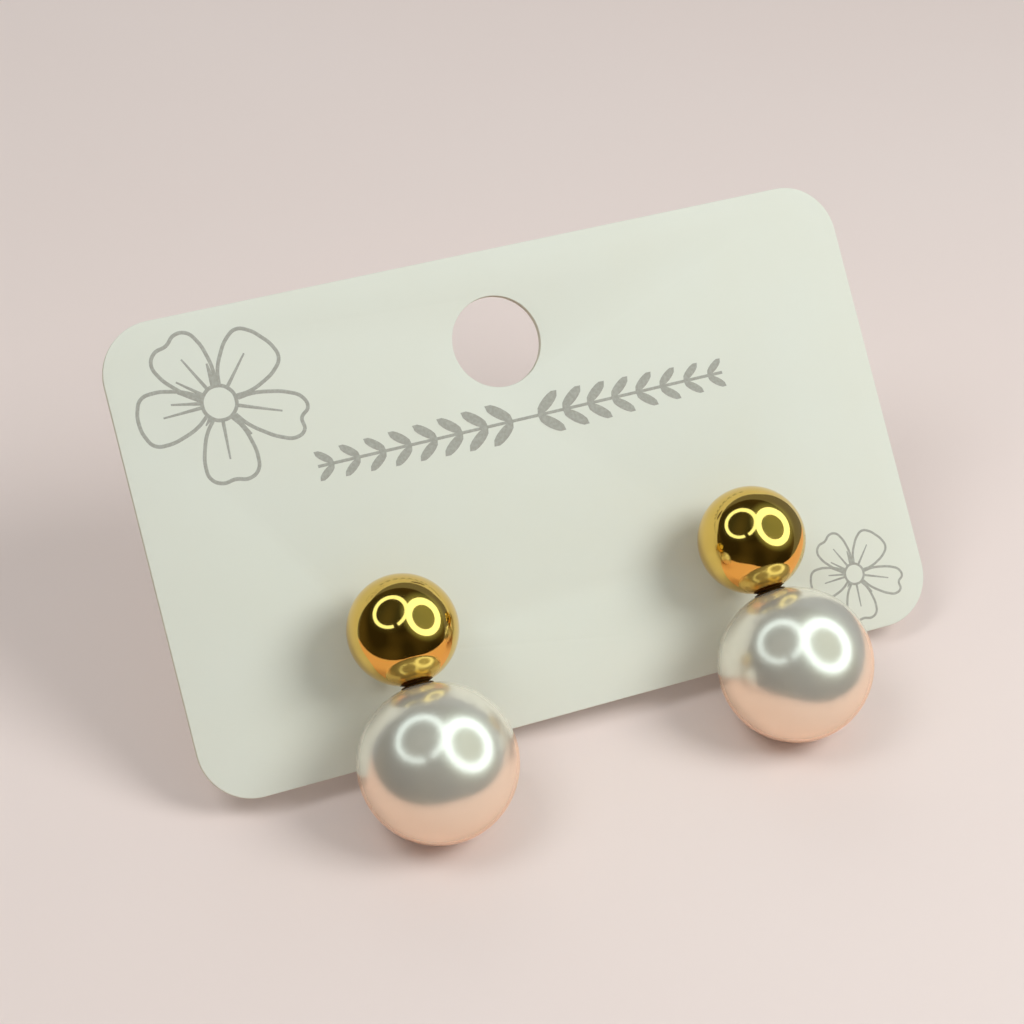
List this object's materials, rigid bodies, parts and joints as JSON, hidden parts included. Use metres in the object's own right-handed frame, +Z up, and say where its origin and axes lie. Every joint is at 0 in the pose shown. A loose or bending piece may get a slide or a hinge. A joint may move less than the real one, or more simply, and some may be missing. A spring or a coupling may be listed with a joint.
{
  "type": "pair of pearl drop earrings on a display card",
  "caption": "Pearl drop earrings, each a polished gold ball stud with a round pearl pegged right below it, fastened with ear nuts to a small leaning display card with a hang hole.",
  "frame": {"origin": "on the surface it stands on, under the middle of its bounding box", "axes": "+X along the card's width, to the right seen from the front; -Y towards the front, where the earrings show; +Z up"},
  "size_m": [0.051, 0.0306, 0.0239],
  "materials": {
    "card_stock": "matte",
    "gold_plated_steel": "polished",
    "pearl": "gloss",
    "silicone": "satin"
  },
  "bodies": {
    "root": {"card": "card_stock", "ball_stud_left": "gold_plated_steel", "pearl_left": "pearl", "ear_nut_left": "silicone", "ball_stud_right": "gold_plated_steel", "pearl_right": "pearl", "ear_nut_right": "silicone"}
  },
  "joints": []
}
